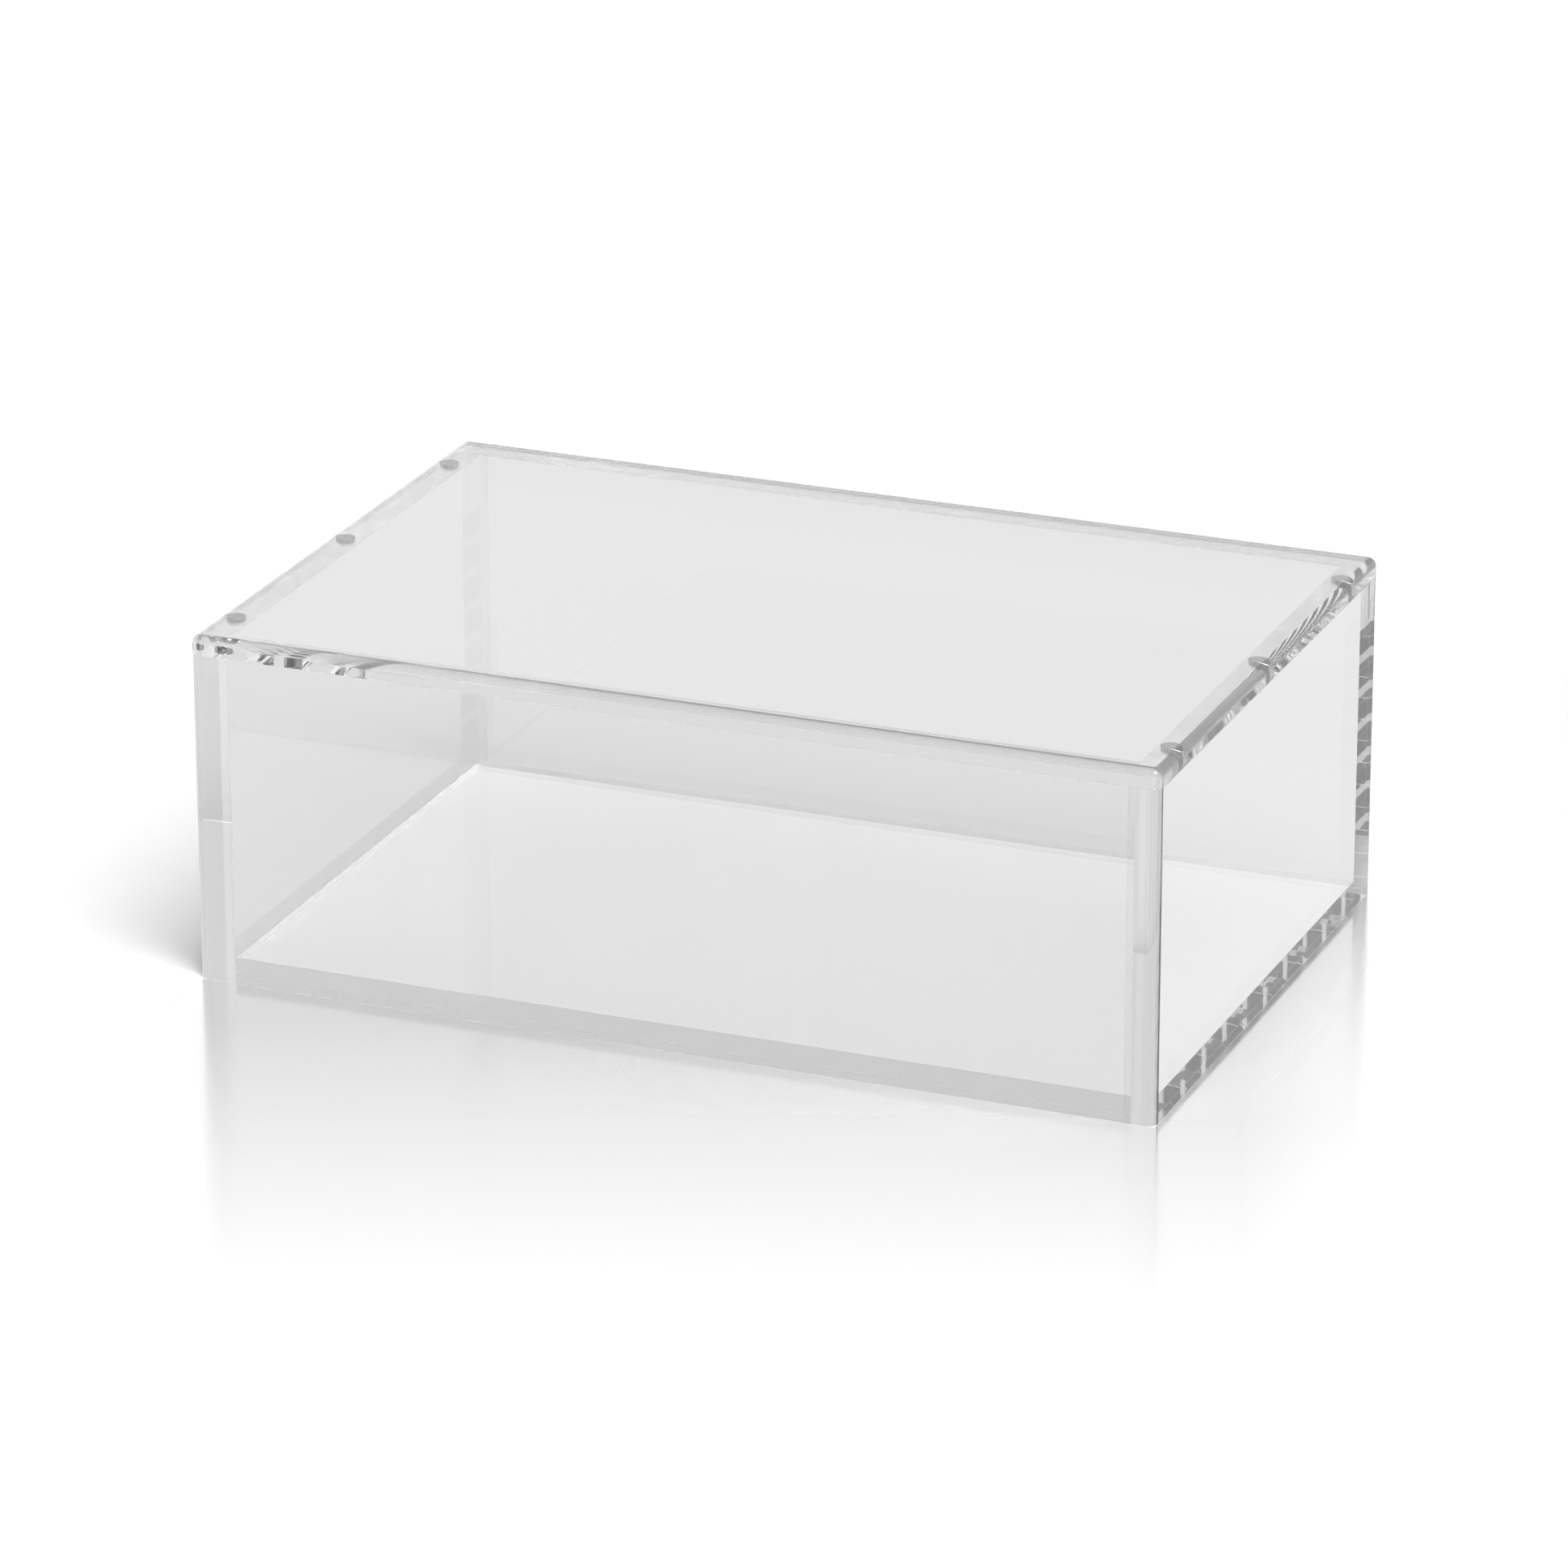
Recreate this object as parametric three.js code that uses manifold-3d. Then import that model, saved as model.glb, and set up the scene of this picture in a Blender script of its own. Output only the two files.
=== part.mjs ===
// Clear acrylic display case: a bonded box with an open top, and a flat lid that lifts straight off.
// Disc magnets let into the lid's underside pull on thin steel keepers in the tops of the two end walls.
// Millimetres. +X runs along the case, -Y is its front and +Z is up.
// The origin is the middle of the underside, where the case stands.
import * as THREE from "three";
import { RoundedBoxGeometry } from "three/addons/geometries/RoundedBoxGeometry.js";
import { mergeVertices } from "three/addons/utils/BufferGeometryUtils.js";
import Module from "manifold-3d";

// Driving dimensions
const caseWidth = 256;
const caseDepth = 167;
const boxHeight = 87;
const wallThickness = 8;
const floorThickness = 5;
const lidThickness = 5;
// One round-over for the upright corners of the box and for the lid's corners and upper edges
const edgeRadius = 2.5;
// Magnets and keepers are discs of one diameter
const discDiameter = 5;
const magnetThickness = 3;
const magnetChamfer = 0.25;
const keeperThickness = 0.5;
const keeperChamfer = 0.1;
// Room for glue round and behind each disc
const pocketClearance = 0.25;
// From the case's front or back face to the middle of the nearest magnet
const magnetEndDistance = 18.7;

// Facets of a quarter round and of a full disc
const quarterFacets = 6;
const discFacets = 32;

// Worked out from the driving dimensions
const innerWidth = caseWidth - 2 * wallThickness;
const innerDepth = caseDepth - 2 * wallThickness;
const discRadius = discDiameter / 2;
const pocketRadius = discRadius + pocketClearance;
const magnetPocketDepth = magnetThickness + pocketClearance;
const keeperPocketDepth = keeperThickness + pocketClearance;
const endWallMiddle = (caseWidth - wallThickness) / 2;
const longWallMiddle = (caseDepth - wallThickness) / 2;
const outerMagnetRow = caseDepth / 2 - magnetEndDistance;
const magnetRows = { front: -outerMagnetRow, middle: 0, back: outerMagnetRow };
const ends = { left: -1, right: 1 };

const wasm = await Module();
wasm.setup();

function solidOf(geometry) {
  geometry.deleteAttribute("normal");
  geometry.deleteAttribute("uv");
  const merged = mergeVertices(geometry);
  return new wasm.Manifold(
    new wasm.Mesh({
      numProp: 3,
      vertProperties: new Float32Array(merged.attributes.position.array),
      triVerts: new Uint32Array(merged.index.array),
    }),
  );
}

function geometryOf(solid) {
  const { vertProperties, triVerts } = solid.getMesh();
  const geometry = new THREE.BufferGeometry();
  geometry.setAttribute("position", new THREE.BufferAttribute(vertProperties, 3));
  geometry.setIndex(new THREE.BufferAttribute(triVerts, 1));
  geometry.computeVertexNormals();
  return geometry;
}

function clearAcrylic() {
  return new THREE.MeshStandardMaterial({
    color: 0xf3f6f7,
    roughness: 0.04,
    metalness: 0,
    transparent: true,
    opacity: 0.3,
  });
}

function nickelPlate() {
  return new THREE.MeshStandardMaterial({ color: 0xa9abac, roughness: 0.25, metalness: 1 });
}

function piece(name, geometry, material, x, y, z) {
  const mesh = new THREE.Mesh(geometry, material);
  mesh.name = name;
  mesh.position.set(x, y, z);
  return mesh;
}

// A disc of the pocket's width whose flat ends lie at the two heights given
function pocketCutter(x, y, low, high) {
  const cutter = new THREE.CylinderGeometry(pocketRadius, pocketRadius, high - low, discFacets);
  cutter.rotateX(Math.PI / 2);
  cutter.translate(x, y, (low + high) / 2);
  return solidOf(cutter);
}

// A plain plate standing on its lower edge at z = 0
function plate(width, depth, height) {
  const geometry = new THREE.BoxGeometry(width, depth, height);
  geometry.translate(0, 0, height / 2);
  return geometry;
}

// Plan of an end wall about its own middle, with its two outer corners rounded on the +X side
function endWallPlan() {
  const half = wallThickness / 2;
  const end = caseDepth / 2;
  const arcX = half - edgeRadius;
  const arcY = end - edgeRadius;
  const plan = new THREE.Shape();
  plan.moveTo(-half, -end);
  plan.lineTo(arcX, -end);
  plan.absarc(arcX, -arcY, edgeRadius, -Math.PI / 2, 0);
  plan.lineTo(half, arcY);
  plan.absarc(arcX, arcY, edgeRadius, 0, Math.PI / 2);
  plan.lineTo(-half, end);
  plan.closePath();
  return plan;
}

// An end wall runs the full depth of the case, with blind keeper pockets in its top edge
function endWall(end) {
  const blank = new THREE.ExtrudeGeometry(endWallPlan(), {
    depth: boxHeight,
    bevelEnabled: false,
    curveSegments: quarterFacets,
  });
  if (end < 0) blank.rotateZ(Math.PI);
  let wall = solidOf(blank);
  for (const y of Object.values(magnetRows)) {
    wall = wall.subtract(pocketCutter(0, y, boxHeight - keeperPocketDepth, boxHeight + keeperPocketDepth));
  }
  return geometryOf(wall);
}

// The lid stands with its flat underside at z = 0: a rounded block with its lower part sawn off
function lidPanel() {
  const blockHeight = 2 * (lidThickness + edgeRadius);
  const block = new RoundedBoxGeometry(caseWidth, caseDepth, blockHeight, quarterFacets, edgeRadius);
  block.translate(0, 0, -edgeRadius);
  const lower = new THREE.BoxGeometry(2 * caseWidth, 2 * caseDepth, blockHeight);
  lower.translate(0, 0, -blockHeight / 2);
  let panel = solidOf(block).subtract(solidOf(lower));
  for (const end of Object.values(ends)) {
    for (const y of Object.values(magnetRows)) {
      panel = panel.subtract(pocketCutter(end * endWallMiddle, y, -magnetPocketDepth, magnetPocketDepth));
    }
  }
  return geometryOf(panel);
}

// A plated disc with both rims chamfered, standing on z = 0
function platedDisc(thickness, chamfer) {
  const profile = [
    new THREE.Vector2(0, 0),
    new THREE.Vector2(discRadius - chamfer, 0),
    new THREE.Vector2(discRadius, chamfer),
    new THREE.Vector2(discRadius, thickness - chamfer),
    new THREE.Vector2(discRadius - chamfer, thickness),
    new THREE.Vector2(0, thickness),
  ];
  const disc = new THREE.LatheGeometry(profile, discFacets);
  disc.rotateX(Math.PI / 2);
  return geometryOf(solidOf(disc));
}

// Three discs along each end of the case, standing at one height
function discRows(kind, thickness, chamfer, z) {
  const discs = [];
  for (const [endName, end] of Object.entries(ends)) {
    for (const [rowName, y] of Object.entries(magnetRows)) {
      const disc = platedDisc(thickness, chamfer);
      discs.push(piece(`${kind}_${endName}_${rowName}`, disc, nickelPlate(), end * endWallMiddle, y, z));
    }
  }
  return discs;
}

// The front and back walls stand between the end walls, and the floor lies within all four
function bondedBox() {
  const box = new THREE.Group();
  const longWall = () => plate(innerWidth, wallThickness, boxHeight);
  const floor = plate(innerWidth, innerDepth, floorThickness);
  box.add(piece("left_wall", endWall(ends.left), clearAcrylic(), -endWallMiddle, 0, 0));
  box.add(piece("right_wall", endWall(ends.right), clearAcrylic(), endWallMiddle, 0, 0));
  box.add(piece("front_wall", longWall(), clearAcrylic(), 0, -longWallMiddle, 0));
  box.add(piece("back_wall", longWall(), clearAcrylic(), 0, longWallMiddle, 0));
  box.add(piece("floor_plate", floor, clearAcrylic(), 0, 0, 0));
  box.add(...discRows("wall_keeper", keeperThickness, keeperChamfer, boxHeight - keeperThickness));
  return box;
}

// The lid rests on the top edges of all four walls
function liftOffLid() {
  const lid = new THREE.Group();
  lid.add(piece("lid_panel", lidPanel(), clearAcrylic(), 0, 0, 0));
  lid.add(...discRows("lid_magnet", magnetThickness, magnetChamfer, 0));
  lid.position.z = boxHeight;
  return lid;
}

const displayCase = new THREE.Group();
displayCase.add(bondedBox(), liftOffLid());

export default displayCase;
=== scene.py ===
"""Clear acrylic display case with a lift-off magnetic lid: the looks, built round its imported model."""
import math

import bmesh
import bpy
from mathutils import Matrix, Vector


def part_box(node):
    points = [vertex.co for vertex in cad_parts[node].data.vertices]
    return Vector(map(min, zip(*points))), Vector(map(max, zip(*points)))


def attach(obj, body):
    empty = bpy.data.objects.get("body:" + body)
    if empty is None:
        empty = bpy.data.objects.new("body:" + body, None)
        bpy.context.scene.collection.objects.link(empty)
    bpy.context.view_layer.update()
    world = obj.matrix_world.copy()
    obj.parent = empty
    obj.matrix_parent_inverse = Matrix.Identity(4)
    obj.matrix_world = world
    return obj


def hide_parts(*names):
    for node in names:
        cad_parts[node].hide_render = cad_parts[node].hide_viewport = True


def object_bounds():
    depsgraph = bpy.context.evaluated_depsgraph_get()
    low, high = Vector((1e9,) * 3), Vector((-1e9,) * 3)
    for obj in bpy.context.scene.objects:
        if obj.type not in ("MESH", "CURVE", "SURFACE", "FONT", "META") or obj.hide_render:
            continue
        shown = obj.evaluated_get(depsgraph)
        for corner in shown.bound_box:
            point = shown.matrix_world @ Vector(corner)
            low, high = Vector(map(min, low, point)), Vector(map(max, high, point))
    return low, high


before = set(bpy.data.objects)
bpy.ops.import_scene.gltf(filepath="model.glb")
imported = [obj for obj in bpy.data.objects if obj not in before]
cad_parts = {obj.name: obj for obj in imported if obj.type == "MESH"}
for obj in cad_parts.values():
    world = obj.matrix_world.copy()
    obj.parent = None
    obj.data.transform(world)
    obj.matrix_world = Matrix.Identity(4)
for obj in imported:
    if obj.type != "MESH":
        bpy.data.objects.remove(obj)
cad_low, cad_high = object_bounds()

# Sizes of the finish, in metres
MM = 0.001
ROUND_RADIUS = 2.5 * MM
ARRIS = 0.04 * MM
MAGNET_ROUND = 0.3 * MM
KEEPER_ROUND = 0.1 * MM
POCKET_ROOM = 0.25 * MM
LID_AIR_GAP = 0.06 * MM
STAND_AIR_GAP = 0.03 * MM
GLUE_FILM = 0.05 * MM
ROUND_STEPS = 10
DISC_SIDES = 48
# How near two places have to be to count as one
NEAR = 0.01 * MM
# Edges sharper than the first angle are broken, and those sharper than the second shade as edges
ARRIS_ANGLE = math.radians(40)
SMOOTH_ANGLE = math.radians(50)

# The photograph's camera, on its own 1932 x 1932 frame
PHOTO_SIDE = 1932
FOCAL_PIXELS = 9738.4
SENSOR_WIDTH = 36.0
CAMERA_AZIMUTH = math.radians(22.088)
CAMERA_ELEVATION = math.radians(20.936)
CAMERA_ROLL = math.radians(0.115)
CAMERA_DISTANCE = 2.0247
AIM_RIGHT = -2.11 * MM
AIM_UP = 38.25 * MM

# Panel nodes and where they meet, from the frame
lid_low, lid_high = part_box("lid_panel")
left_low, left_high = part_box("left_wall")
right_low, right_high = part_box("right_wall")
front_low, front_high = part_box("front_wall")
back_low, back_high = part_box("back_wall")
floor_low, floor_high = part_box("floor_plate")
magnet_low, magnet_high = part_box("lid_magnet_left_middle")
POCKET_RADIUS = (magnet_high.x - magnet_low.x) / 2 + POCKET_ROOM
ENDS = ("left", "right")
ROWS = ("front", "middle", "back")


# Modelling helpers

def start_block(name, low, high):
    """A cube stretched between two corners, with its place in its mesh."""
    bpy.ops.object.select_all(action="DESELECT")
    bpy.ops.mesh.primitive_cube_add(size=1, location=(low + high) / 2, scale=high - low)
    block = bpy.context.object
    block.name = name
    block.data.name = name
    bpy.ops.object.transform_apply(location=True, rotation=True, scale=True)
    return block


def edit_with_edges(piece, wanted):
    """Goes into edit mode with the edges selected whose middle and direction suit wanted."""
    bpy.context.view_layer.objects.active = piece
    bpy.ops.object.mode_set(mode="EDIT")
    bpy.ops.mesh.select_mode(type="EDGE")
    bpy.ops.mesh.select_all(action="DESELECT")
    mesh = bmesh.from_edit_mesh(piece.data)
    for edge in mesh.edges:
        a, b = (vertex.co for vertex in edge.verts)
        edge.select_set(wanted((a + b) / 2, (b - a).normalized()))
    bmesh.update_edit_mesh(piece.data)


def round_edges(piece, wanted, radius):
    edit_with_edges(piece, wanted)
    bpy.ops.mesh.bevel(offset=radius, segments=ROUND_STEPS, profile=0.5, affect="EDGES")
    bpy.ops.object.mode_set(mode="OBJECT")


def split_faces(piece, point, normal):
    """Draws the outline of a glued patch on a panel: a cut through its faces that leaves both sides."""
    bpy.context.view_layer.objects.active = piece
    bpy.ops.object.mode_set(mode="EDIT")
    bpy.ops.mesh.select_mode(type="FACE")
    bpy.ops.mesh.select_all(action="SELECT")
    bpy.ops.mesh.bisect(plane_co=point, plane_no=normal, clear_inner=False, clear_outer=False)
    bpy.ops.object.mode_set(mode="OBJECT")


def apply_modifiers(piece):
    bpy.ops.object.select_all(action="DESELECT")
    piece.select_set(True)
    bpy.context.view_layer.objects.active = piece
    for modifier in list(piece.modifiers):
        bpy.ops.object.modifier_apply(modifier=modifier.name)


def break_arrises(piece):
    """Takes the knife edge off every sharp edge, as scraping and polishing does."""
    bevel = piece.modifiers.new("arris", "BEVEL")
    bevel.width = ARRIS
    bevel.segments = 2
    bevel.limit_method = "ANGLE"
    bevel.angle_limit = ARRIS_ANGLE
    apply_modifiers(piece)


def keep_faces_flat(piece):
    """Smooth round-overs beside faces that stay optically flat."""
    bpy.ops.object.select_all(action="DESELECT")
    piece.select_set(True)
    bpy.context.view_layer.objects.active = piece
    bpy.ops.object.shade_smooth_by_angle(angle=SMOOTH_ANGLE)
    weighted = piece.modifiers.new("flat", "WEIGHTED_NORMAL")
    weighted.weight = 100
    weighted.keep_sharp = True
    apply_modifiers(piece)


def cut_pockets(piece, middles, low, high):
    """Mills round blind pockets between two heights."""
    cutters = []
    for middle in middles:
        bpy.ops.object.select_all(action="DESELECT")
        bpy.ops.mesh.primitive_cylinder_add(
            vertices=DISC_SIDES,
            radius=POCKET_RADIUS,
            depth=high - low,
            location=(middle.x, middle.y, (low + high) / 2),
        )
        cutters.append(bpy.context.object)
    for cutter in cutters:
        cutter.select_set(True)
    bpy.ops.object.join()
    mill = bpy.context.object
    pocket = piece.modifiers.new("pockets", "BOOLEAN")
    pocket.operation = "DIFFERENCE"
    pocket.object = mill
    pocket.solver = "EXACT"
    apply_modifiers(piece)
    bpy.data.objects.remove(mill, do_unlink=True)


def paint_faces(piece, materials, choose):
    """Gives each face the material whose number choose returns for its middle and normal."""
    piece.data.materials.clear()
    for material in materials:
        piece.data.materials.append(material)
    for face in piece.data.polygons:
        face.material_index = choose(face.center, face.normal)


def finish_piece(piece, node, body):
    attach(piece, body)
    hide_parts(node)


# Materials

ACRYLIC_INDEX = 1.49
GLUE_INDEX = 1.3
# Share of light that each kind of surface lets through
CAST_CLEARNESS = 0.997
ROUTED_CLEARNESS = 0.975
SAWN_CLEARNESS = 0.88
FILM_CLEARNESS = 0.90
MATT_FILM_CLEARNESS = 0.905
# Most roughness of a polished surface, and the span of it on a sawn edge under glue
HAZE = 0.004
SAW_MARKS = (0.40, 0.50)
WAVE_HEIGHT = 0.05 * MM
WAVE_STRENGTH = 0.01
# The part of a noise's range in which most of its values lie
NOISE_LOW = 0.35
NOISE_HIGH = 0.65
NICKEL_DARK = (0.48, 0.48, 0.48, 1)
NICKEL_LIGHT = (0.54, 0.54, 0.535, 1)
NICKEL_ROUGHNESS = (0.12, 0.18)


def new_material(name):
    material = bpy.data.materials.new(name)
    material.use_nodes = True
    nodes = material.node_tree.nodes
    nodes.clear()
    output = nodes.new("ShaderNodeOutputMaterial")
    shader = nodes.new("ShaderNodeBsdfPrincipled")
    material.node_tree.links.new(shader.outputs["BSDF"], output.inputs["Surface"])
    return material, shader


def add_node(material, kind, **settings):
    node = material.node_tree.nodes.new(kind)
    for name, value in settings.items():
        setattr(node, name, value)
    return node


def join_nodes(material, source, target):
    material.node_tree.links.new(source, target)


def object_noise(material, scale, detail=2.0, stretch=(1, 1, 1)):
    """Noise on Object coordinates. scale is in features per metre."""
    where = add_node(material, "ShaderNodeTexCoord")
    turned = add_node(material, "ShaderNodeMapping")
    turned.inputs["Scale"].default_value = stretch
    noise = add_node(material, "ShaderNodeTexNoise")
    noise.inputs["Scale"].default_value = scale
    noise.inputs["Detail"].default_value = detail
    join_nodes(material, where.outputs["Object"], turned.inputs["Vector"])
    join_nodes(material, turned.outputs["Vector"], noise.inputs["Vector"])
    return noise.outputs["Fac"]


def between(material, source, low, high):
    """A noise value spread between two numbers."""
    spread = add_node(material, "ShaderNodeMapRange")
    spread.inputs["From Min"].default_value = NOISE_LOW
    spread.inputs["From Max"].default_value = NOISE_HIGH
    spread.inputs["To Min"].default_value = low
    spread.inputs["To Max"].default_value = high
    join_nodes(material, source, spread.inputs["Value"])
    return spread.outputs["Result"]


def clear_surface(name, clearness, index):
    """The start of every clear material: how much light passes, and how far it bends."""
    material, shader = new_material(name)
    shader.inputs["Base Color"].default_value = (clearness, clearness, clearness, 1)
    shader.inputs["Transmission Weight"].default_value = 1.0
    shader.inputs["IOR"].default_value = index
    return material, shader


def cast_face():
    """The cast faces of the sheet: glass-flat, with the faintest haze of handling."""
    material, shader = clear_surface("acrylic_cast_face", CAST_CLEARNESS, ACRYLIC_INDEX)
    haze = between(material, object_noise(material, 45.0), 0.0, HAZE)
    join_nodes(material, haze, shader.inputs["Roughness"])
    return material


def polished_edge(name, clearness):
    """Routed or sawn edges after polishing: clear, with fine waves along the cut."""
    material, shader = clear_surface(name, clearness, ACRYLIC_INDEX)
    haze = between(material, object_noise(material, 160.0), 0.0, HAZE)
    join_nodes(material, haze, shader.inputs["Roughness"])
    waves = object_noise(material, 220.0, detail=1.0)
    bump = add_node(material, "ShaderNodeBump")
    bump.inputs["Strength"].default_value = WAVE_STRENGTH
    bump.inputs["Distance"].default_value = WAVE_HEIGHT
    join_nodes(material, waves, bump.inputs["Height"])
    join_nodes(material, bump.outputs["Normal"], shader.inputs["Normal"])
    return material


def glue_film(name, clearness, least, most):
    """A panel's face against a thin film of glue, whose index is lower than the sheet's."""
    material, shader = clear_surface(name, clearness, ACRYLIC_INDEX / GLUE_INDEX)
    marks = between(material, object_noise(material, 300.0), least, most)
    join_nodes(material, marks, shader.inputs["Roughness"])
    return material


def clear_cement():
    """Solvent-welded faces: light crosses them as if the panels were one."""
    material, shader = new_material("clear_cement")
    shader.inputs["Alpha"].default_value = 0.0
    return material


def nickel_plate():
    """Bright nickel on the magnets and keepers, with a fine tumbled grain."""
    material, shader = new_material("nickel_plate")
    shader.inputs["Metallic"].default_value = 1.0
    grain = object_noise(material, 2600.0, detail=4.0)
    tint = add_node(material, "ShaderNodeMix", data_type="RGBA")
    tint.inputs["A"].default_value = NICKEL_DARK
    tint.inputs["B"].default_value = NICKEL_LIGHT
    join_nodes(material, grain, tint.inputs["Factor"])
    join_nodes(material, tint.outputs["Result"], shader.inputs["Base Color"])
    join_nodes(material, between(material, grain, *NICKEL_ROUGHNESS), shader.inputs["Roughness"])
    return material


CAST, ROUTED, SAWN, CEMENT, FILM, MATT_FILM = range(6)
acrylic = [
    cast_face(),
    polished_edge("acrylic_routed_edge", ROUTED_CLEARNESS),
    polished_edge("acrylic_sawn_end", SAWN_CLEARNESS),
    clear_cement(),
    glue_film("glue_film", FILM_CLEARNESS, 0.0, HAZE),
    glue_film("glue_film_on_sawn_edge", MATT_FILM_CLEARNESS, *SAW_MARKS),
]
nickel = nickel_plate()


# Panels

def pocket_middles(disc_names):
    """The upright middle lines of these discs' pockets."""
    middles = []
    for disc in disc_names:
        low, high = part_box(disc)
        middles.append(((low + high) / 2).xy)
    return middles


def in_pocket(point, middles, low, high):
    """True if a point lies on the wall or the bottom of a pocket between two heights."""
    if not low - NEAR < point.z < high - NEAR:
        return False
    return any((point.xy - middle).length < POCKET_RADIUS + NEAR for middle in middles)


def end_wall(end, low, high, outer):
    """An end wall: rounded outer corners, glued patches on its inner face, keeper pockets on top."""
    name = f"{end}_wall"
    keepers = [f"wall_keeper_{end}_{row}" for row in ROWS]
    outer_x = high.x if outer > 0 else low.x
    inner_x = low.x if outer > 0 else high.x
    wall = start_block(f"{name}_clear", low, high)
    round_edges(
        wall,
        lambda middle, along: abs(along.z) > 0.9 and abs(middle.x - outer_x) < NEAR,
        ROUND_RADIUS,
    )
    break_arrises(wall)
    split_faces(wall, (0, front_high.y, 0), (0, 1, 0))
    split_faces(wall, (0, back_low.y, 0), (0, 1, 0))
    split_faces(wall, (0, 0, floor_high.z), (0, 0, 1))
    pockets = pocket_middles(keepers)
    pocket_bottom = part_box(keepers[0])[0].z - POCKET_ROOM
    cut_pockets(wall, pockets, pocket_bottom, high.z + POCKET_ROOM)
    keep_faces_flat(wall)

    def choose(middle, normal):
        on_inner_face = abs(middle.x - inner_x) < NEAR
        if on_inner_face and (middle.y < front_high.y or middle.y > back_low.y):
            return CEMENT
        if on_inner_face and middle.z < floor_high.z:
            return FILM
        if in_pocket(middle, pockets, pocket_bottom, high.z):
            return CEMENT
        if abs(normal.x) > 0.99:
            return CAST
        return ROUTED if abs(normal.z) > 0.5 else SAWN

    paint_faces(wall, acrylic, choose)
    finish_piece(wall, name, "box")


def long_wall(name, low, high, inner_y):
    """The front or back wall, glued between the end walls and to the floor."""
    wall = start_block(f"{name}_clear", low, high)
    break_arrises(wall)
    split_faces(wall, (0, 0, floor_high.z), (0, 0, 1))
    keep_faces_flat(wall)

    def choose(middle, normal):
        if abs(normal.x) > 0.99:
            return CEMENT
        if abs(middle.y - inner_y) < NEAR and middle.z < floor_high.z:
            return FILM
        return CAST if abs(normal.y) > 0.99 else ROUTED

    paint_faces(wall, acrylic, choose)
    finish_piece(wall, name, "box")


def floor_plate():
    """The floor, with a film of glue round its edges. The front edge is as the saw left it."""
    film = Vector((GLUE_FILM, GLUE_FILM, 0))
    plate = start_block("floor_plate_clear", floor_low + film, floor_high - film)
    break_arrises(plate)
    keep_faces_flat(plate)

    def choose(middle, normal):
        if abs(normal.z) > 0.99:
            return CAST
        return MATT_FILM if normal.y < -0.99 else FILM

    paint_faces(plate, acrylic, choose)
    finish_piece(plate, "floor_plate", "box")


def lid_panel():
    """The lid: rounded corners and upper edges, a crisp lower edge, magnet pockets underneath."""
    magnets = [f"lid_magnet_{end}_{row}" for end in ENDS for row in ROWS]
    low = lid_low + Vector((0, 0, LID_AIR_GAP))
    lid = start_block("lid_panel_clear", low, lid_high)
    round_edges(
        lid,
        lambda middle, along: abs(along.z) > 0.9 or abs(middle.z - lid_high.z) < NEAR,
        ROUND_RADIUS,
    )
    break_arrises(lid)
    pockets = pocket_middles(magnets)
    pocket_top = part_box(magnets[0])[1].z + POCKET_ROOM
    cut_pockets(lid, pockets, lid_low.z - POCKET_ROOM, pocket_top)
    keep_faces_flat(lid)

    def choose(middle, normal):
        if in_pocket(middle, pockets, low.z + 2 * NEAR, pocket_top + 2 * NEAR):
            return CEMENT
        return CAST if abs(normal.z) > 0.99 else ROUTED

    paint_faces(lid, acrylic, choose)
    finish_piece(lid, "lid_panel", "lid")


def plated_disc(name, body, rim_radius):
    """A plated disc with rounded rims."""
    low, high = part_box(name)
    bpy.ops.object.select_all(action="DESELECT")
    bpy.ops.mesh.primitive_cylinder_add(
        vertices=DISC_SIDES,
        radius=(high.x - low.x) / 2,
        depth=high.z - low.z,
        location=(low + high) / 2,
    )
    disc = bpy.context.object
    disc.name = f"{name}_disc"
    disc.data.name = disc.name
    bpy.ops.object.transform_apply(location=True, rotation=True, scale=True)
    round_edges(disc, lambda middle, along: abs(along.z) < 0.1, rim_radius)
    keep_faces_flat(disc)
    disc.data.materials.append(nickel)
    finish_piece(disc, name, body)


end_wall("left", left_low, left_high, -1)
end_wall("right", right_low, right_high, 1)
long_wall("front_wall", front_low, front_high, front_high.y)
long_wall("back_wall", back_low, back_high, back_low.y)
floor_plate()
lid_panel()
for end in ENDS:
    for row in ROWS:
        plated_disc(f"wall_keeper_{end}_{row}", "box", KEEPER_ROUND)
        plated_disc(f"lid_magnet_{end}_{row}", "lid", MAGNET_ROUND)


# Camera

def photo_camera():
    """The camera that took the photograph, placed by its angles round the case."""
    a, e = CAMERA_AZIMUTH, CAMERA_ELEVATION
    back = Vector((math.sin(a) * math.cos(e), -math.cos(a) * math.cos(e), math.sin(e)))
    right = Vector((math.cos(a), math.sin(a), 0))
    up = back.cross(right)
    aim = AIM_RIGHT * right + AIM_UP * up
    turn = Matrix((right, up, back)).transposed() @ Matrix.Rotation(-CAMERA_ROLL, 3, "Z")
    data = bpy.data.cameras.new("photo_camera")
    data.sensor_width = SENSOR_WIDTH
    data.lens = FOCAL_PIXELS / PHOTO_SIDE * SENSOR_WIDTH
    data.clip_end = 100
    camera = bpy.data.objects.new("photo_camera", data)
    camera.matrix_world = Matrix.Translation(aim + CAMERA_DISTANCE * back) @ turn.to_4x4()
    bpy.context.scene.collection.objects.link(camera)
    bpy.context.scene.camera = camera


photo_camera()


# Stage

STAGE_HALF = 6.0
# The table as the camera sees it, as it shows through the panels, and inside the case, where its glow is
# raised as painted light
FLOOR_SHADE = 0.82
FLOOR_LIFT = 0.24
THROUGH_SHADE = 0.18
THROUGH_LIFT = 0.605
INSIDE_SHADE = 0.22
INSIDE_LIFT = 0.65
# Gain of the painted light on the table inside the case for each metre towards the back
INSIDE_PAINTED_LIGHT_RISE = 0.45
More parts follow.
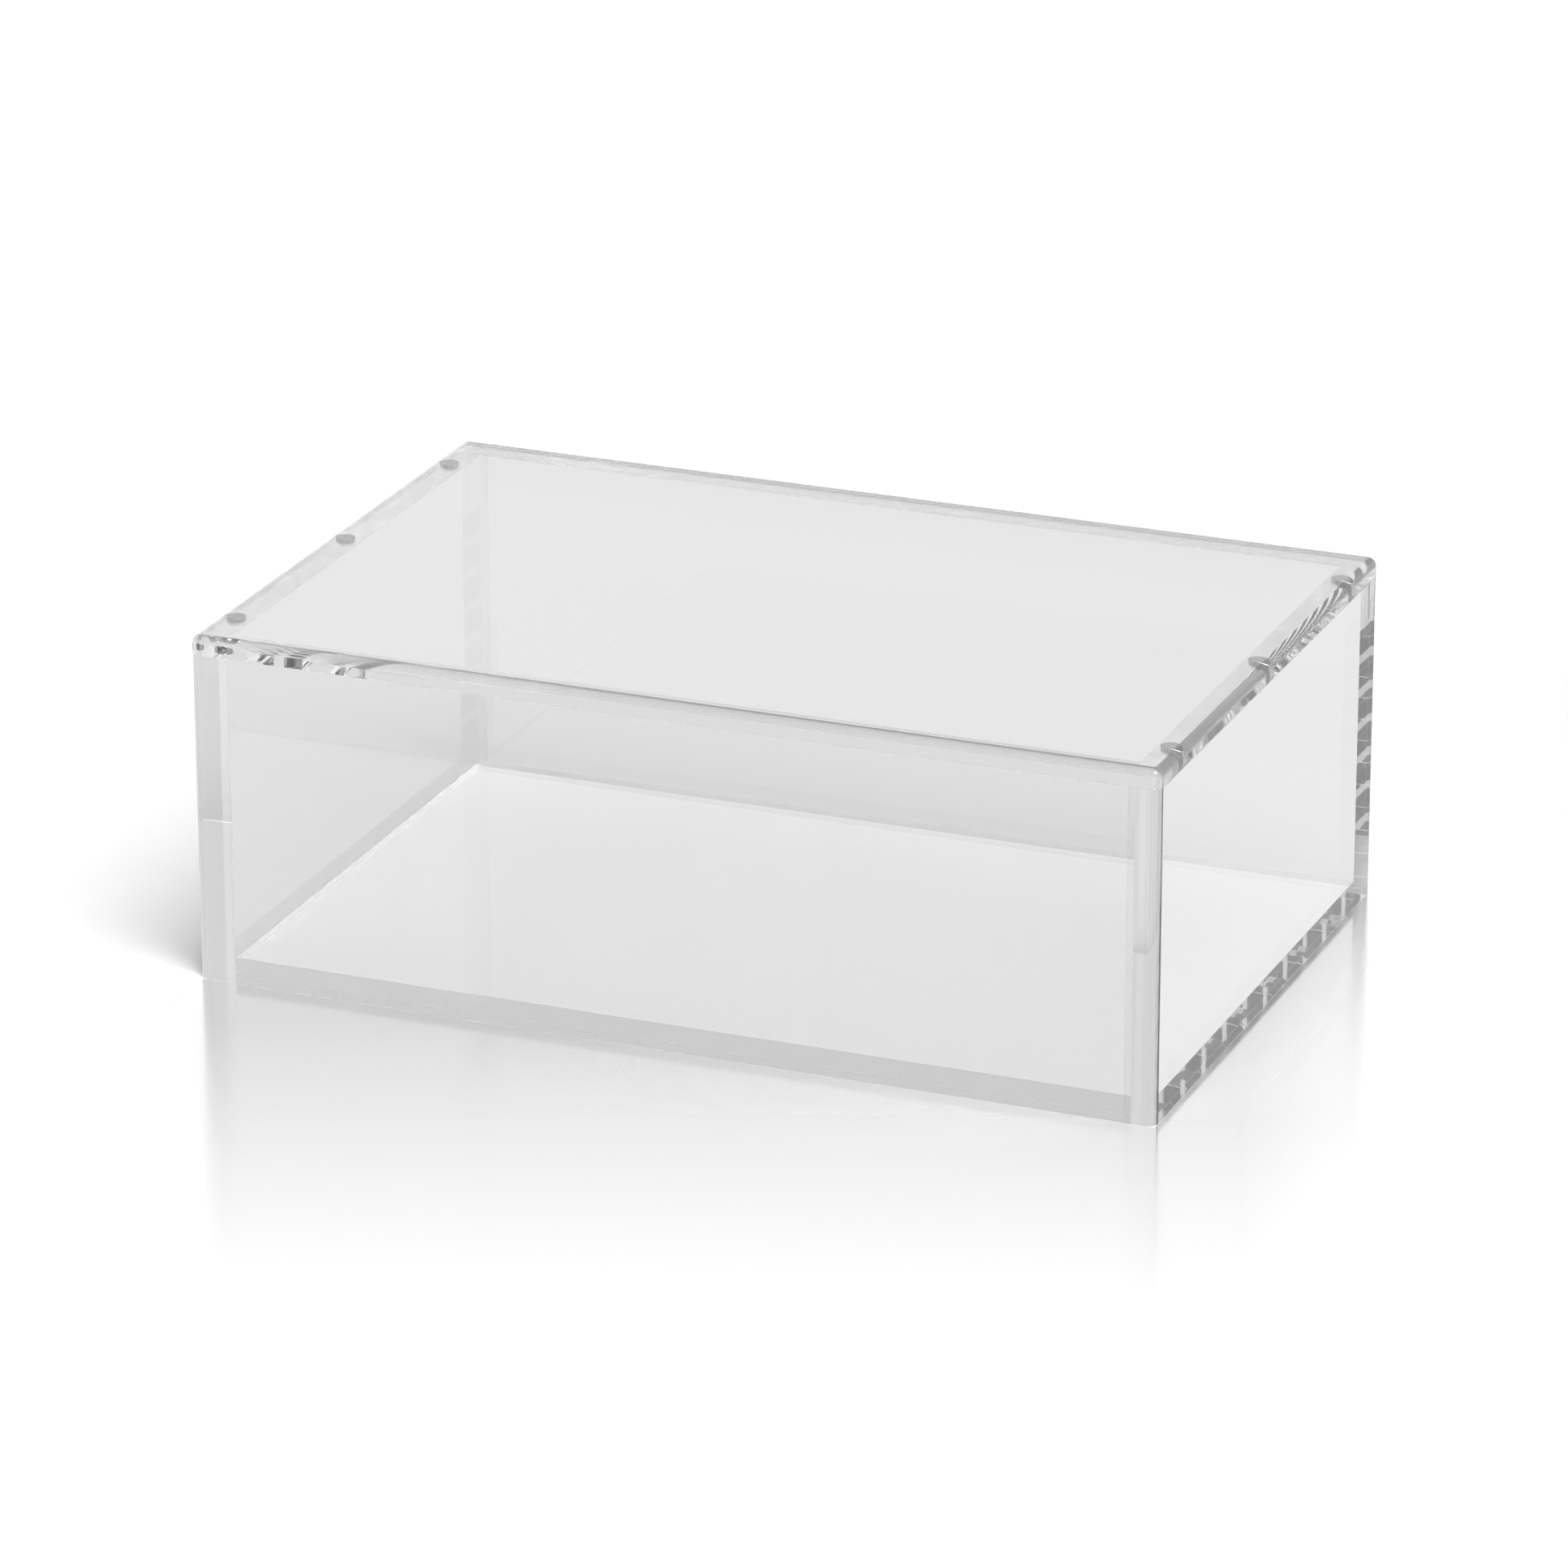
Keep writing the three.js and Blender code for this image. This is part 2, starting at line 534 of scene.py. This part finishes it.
# Where painted shade darkens the table ahead of the case, for light that was turned within the panels
LIT_AHEAD = 10 * MM
DARK_AHEAD = 150 * MM
# Turns within the panels after which light starts to fade and is mostly lost, and what is left then
FEW_TURNS = 16
MANY_TURNS = 80
TURNED_SHARE = 0.2
# Reach of the table's polish ahead of the case and beside it, and its fading to the right for each metre
MIRROR_FRONT = 190 * MM
MIRROR_SIDE = 60 * MM
MIRROR_MIDDLE = -40 * MM
MIRROR_TILT = 1.9
MIRROR_ROUGHNESS = 0.14
# The room round the table: light behind the case and overhead, dark ahead of it
STUDIO_LIGHT = 0.75
STUDIO_DARK = 0.03
STUDIO_TOP = 0.8
DARK_FROM = -0.3
DARK_FULL = -0.8
TOP_FROM = 0.4
TOP_FULL = 0.7
FILL_LIGHT = 0.12
KEY_POWER = 3.25
KEY_AZIMUTH = math.radians(41)
KEY_ELEVATION = math.radians(59)
KEY_SPREAD = math.radians(31)
KEY_BOUNCES = 12
LIGHT_BOUNCES = 96
CLEAR_CROSSINGS = 48


def fill_socket(tree_owner, socket, value):
    """Sets a number on a socket or joins a node's output to it."""
    if isinstance(value, (int, float)):
        socket.default_value = value
    elif value is not None:
        join_nodes(tree_owner, value, socket)


def math_node(tree_owner, operation, first, second=None, third=None, clamp=False):
    node = add_node(tree_owner, "ShaderNodeMath", operation=operation, use_clamp=clamp)
    for socket, value in zip(node.inputs, (first, second, third)):
        fill_socket(tree_owner, socket, value)
    return node.outputs["Value"]


def blend(tree_owner, share, first, second):
    """The first value where share is 0, and the second where it is 1."""
    node = add_node(tree_owner, "ShaderNodeMix", data_type="FLOAT")
    sockets = (node.inputs[0], node.inputs[2], node.inputs[3])
    for socket, value in zip(sockets, (share, first, second)):
        fill_socket(tree_owner, socket, value)
    return node.outputs[0]


def smooth_step(tree_owner, value, start, end):
    """0 at start, 1 at end and a smooth rise between."""
    step = add_node(tree_owner, "ShaderNodeMapRange", interpolation_type="SMOOTHSTEP")
    step.inputs["From Min"].default_value = start
    step.inputs["From Max"].default_value = end
    join_nodes(tree_owner, value, step.inputs["Value"])
    return step.outputs["Result"]


def light_path(tree_owner, name):
    return add_node(tree_owner, "ShaderNodeLightPath").outputs[name]


def seen_plainly(tree_owner):
    """1 for what the camera or a first reflection sees, 0 for what is seen through the clear panels."""
    through = math_node(tree_owner, "MINIMUM", light_path(tree_owner, "Transmission Depth"), 1)
    outside = math_node(tree_owner, "SUBTRACT", 1, through)
    glossy = math_node(tree_owner, "MULTIPLY", light_path(tree_owner, "Is Glossy Ray"), outside)
    return math_node(tree_owner, "MAXIMUM", light_path(tree_owner, "Is Camera Ray"), glossy)


def turned_inside(tree_owner):
    """1 for light that was turned back at least once, 0 for light seen straight through the panels."""
    return math_node(tree_owner, "MINIMUM", light_path(tree_owner, "Glossy Depth"), 1)


def turning_share(tree_owner):
    """What is left of light that is turned many times within the clear panels before it is seen."""
    left = add_node(tree_owner, "ShaderNodeMapRange")
    left.inputs["From Min"].default_value = FEW_TURNS
    left.inputs["From Max"].default_value = MANY_TURNS
    left.inputs["To Min"].default_value = 1.0
    left.inputs["To Max"].default_value = TURNED_SHARE
    join_nodes(tree_owner, light_path(tree_owner, "Ray Depth"), left.inputs["Value"])
    return left.outputs["Result"]


def lighting_path(tree_owner):
    """1 for light on its way to a matt surface, 0 for everything that is seen."""
    return math_node(tree_owner, "MINIMUM", light_path(tree_owner, "Diffuse Depth"), 1)


def table_levels(material, axes):
    """The table's own glow and its matt shade, by place and by the way the light reaches the camera. The
    glow is raised as painted light inside the case, more so towards the back, and painted shade darkens the
    table ahead of the case for light turned within the panels.
    """
    across = math_node(material, "COMPARE", axes.outputs["X"], 0, floor_high.x)
    along = math_node(material, "COMPARE", axes.outputs["Y"], 0, floor_high.y)
    inside = math_node(material, "MULTIPLY", across, along)
    # Painted light: inside the case the table glows brighter than outside, and more so towards the back
    rise = math_node(material, "MULTIPLY_ADD", axes.outputs["Y"], INSIDE_PAINTED_LIGHT_RISE, INSIDE_LIFT - THROUGH_LIFT)
    through_lift = math_node(material, "MULTIPLY_ADD", inside, rise, THROUGH_LIFT)
    through_shade = math_node(material, "MULTIPLY_ADD", inside, INSIDE_SHADE - THROUGH_SHADE, THROUGH_SHADE)
    # Painted shade: the table ahead of the case goes dark for light turned within the panels
    unlit = smooth_step(material, axes.outputs["Y"], cad_low.y - LIT_AHEAD, cad_low.y - DARK_AHEAD)
    dark = math_node(material, "MULTIPLY", unlit, turned_inside(material))
    lit = math_node(material, "SUBTRACT", 1, dark)
    share = math_node(material, "MULTIPLY", lit, turning_share(material))
    through_lift = math_node(material, "MULTIPLY", through_lift, share)
    through_shade = math_node(material, "MULTIPLY", through_shade, share)
    plain = seen_plainly(material)
    shown = math_node(material, "SUBTRACT", 1, lighting_path(material))
    lift = math_node(material, "MULTIPLY", blend(material, plain, through_lift, FLOOR_LIFT), shown)
    return lift, blend(material, plain, through_shade, FLOOR_SHADE)


def polish_share(material, axes):
    """How far the table mirrors the case: ahead of it and to its right, dying away, to the camera alone."""
    ahead = math_node(material, "SUBTRACT", cad_low.y, axes.outputs["Y"])
    ahead = math_node(material, "DIVIDE", ahead, MIRROR_FRONT)
    beside = math_node(material, "SUBTRACT", axes.outputs["X"], cad_high.x)
    beside = math_node(material, "DIVIDE", beside, MIRROR_SIDE)
    outside = math_node(material, "GREATER_THAN", math_node(material, "MAXIMUM", ahead, beside), 0)
    right_of_left = math_node(material, "GREATER_THAN", axes.outputs["X"], cad_low.x)
    rightward = math_node(material, "SUBTRACT", axes.outputs["X"], MIRROR_MIDDLE)
    slanted = math_node(material, "MULTIPLY_ADD", rightward, MIRROR_TILT, ahead)
    faded = math_node(material, "MAXIMUM", slanted, beside)
    share = math_node(material, "SUBTRACT", 1, faded, clamp=True)
    for limit in (outside, right_of_left, light_path(material, "Is Camera Ray")):
        share = math_node(material, "MULTIPLY", share, limit)
    return share


def pale_table():
    """The table's material: a pale matt coat with its own glow, under a polish that dies away. The glow
    holds painted light under the case and painted shade ahead of it.
    """
    material = bpy.data.materials.new("pale_table")
    material.use_nodes = True
    material.node_tree.nodes.clear()
    output = add_node(material, "ShaderNodeOutputMaterial")
    where = add_node(material, "ShaderNodeTexCoord")
    axes = add_node(material, "ShaderNodeSeparateXYZ")
    join_nodes(material, where.outputs["Object"], axes.inputs["Vector"])
    lift, shade = table_levels(material, axes)
    matt = add_node(material, "ShaderNodeBsdfDiffuse")
    join_nodes(material, shade, matt.inputs["Color"])
    glow = add_node(material, "ShaderNodeEmission")
    join_nodes(material, lift, glow.inputs["Strength"])
    coat = add_node(material, "ShaderNodeAddShader")
    join_nodes(material, matt.outputs["BSDF"], coat.inputs[0])
    join_nodes(material, glow.outputs["Emission"], coat.inputs[1])
    polish = add_node(material, "ShaderNodeBsdfGlossy")
    polish.inputs["Color"].default_value = (1, 1, 1, 1)
    polish.inputs["Roughness"].default_value = MIRROR_ROUGHNESS
    surface = add_node(material, "ShaderNodeMixShader")
    join_nodes(material, polish_share(material, axes), surface.inputs["Fac"])
    join_nodes(material, coat.outputs["Shader"], surface.inputs[1])
    join_nodes(material, polish.outputs["BSDF"], surface.inputs[2])
    join_nodes(material, surface.outputs["Shader"], output.inputs["Surface"])
    return material


def stage_floor():
    """A pale table, just clear of the underside so that the case rests on it dry."""
    bpy.ops.object.select_all(action="DESELECT")
    bpy.ops.mesh.primitive_plane_add(size=2 * STAGE_HALF, location=(0, 0, -STAND_AIR_GAP))
    table = bpy.context.object
    table.name = "stage_floor"
    bpy.ops.object.transform_apply(location=True, rotation=True, scale=True)
    table.data.materials.append(pale_table())


def studio_world():
    """A soft pale studio, dark behind the camera for turned light, and plain white where it is seen."""
    world = bpy.data.worlds.new("studio")
    bpy.context.scene.world = world
    world.use_nodes = True
    world.node_tree.nodes.clear()
    output = add_node(world, "ShaderNodeOutputWorld")
    where = add_node(world, "ShaderNodeTexCoord")
    axes = add_node(world, "ShaderNodeSeparateXYZ")
    join_nodes(world, where.outputs["Generated"], axes.inputs["Vector"])
    sides = smooth_step(world, axes.outputs["Y"], DARK_FROM, DARK_FULL)
    dark = math_node(world, "MULTIPLY", sides, turned_inside(world))
    walls = blend(world, dark, STUDIO_LIGHT, STUDIO_DARK)
    overhead = smooth_step(world, axes.outputs["Z"], TOP_FROM, TOP_FULL)
    room = blend(world, overhead, walls, STUDIO_TOP)
    room = math_node(world, "MULTIPLY", room, turning_share(world))
    seen = blend(world, seen_plainly(world), room, 1.0)
    sky = add_node(world, "ShaderNodeBackground")
    sky.inputs["Color"].default_value = (1, 1, 1, 1)
    join_nodes(world, blend(world, lighting_path(world), seen, FILL_LIGHT), sky.inputs["Strength"])
    join_nodes(world, sky.outputs["Background"], output.inputs["Surface"])
    world.cycles.sampling_method = "NONE"


def key_light():
    """A wide soft light from the right, a little in front."""
    data = bpy.data.lights.new("key_light", "SUN")
    data.angle = KEY_SPREAD
    data.energy = KEY_POWER
    data.cycles.max_bounces = KEY_BOUNCES
    lamp = bpy.data.objects.new("key_light", data)
    a, e = KEY_AZIMUTH, KEY_ELEVATION
    toward = Vector((math.cos(a) * math.cos(e), -math.sin(a) * math.cos(e), math.sin(e)))
    lamp.rotation_euler = (-toward).to_track_quat("-Z", "Y").to_euler()
    bpy.context.scene.collection.objects.link(lamp)


stage_floor()
studio_world()
key_light()

scene = bpy.context.scene
scene.view_settings.view_transform = "Standard"
scene.cycles.max_bounces = LIGHT_BOUNCES
scene.cycles.transmission_bounces = LIGHT_BOUNCES
scene.cycles.glossy_bounces = LIGHT_BOUNCES
scene.cycles.transparent_max_bounces = CLEAR_CROSSINGS
scene.cycles.blur_glossy = 0.0
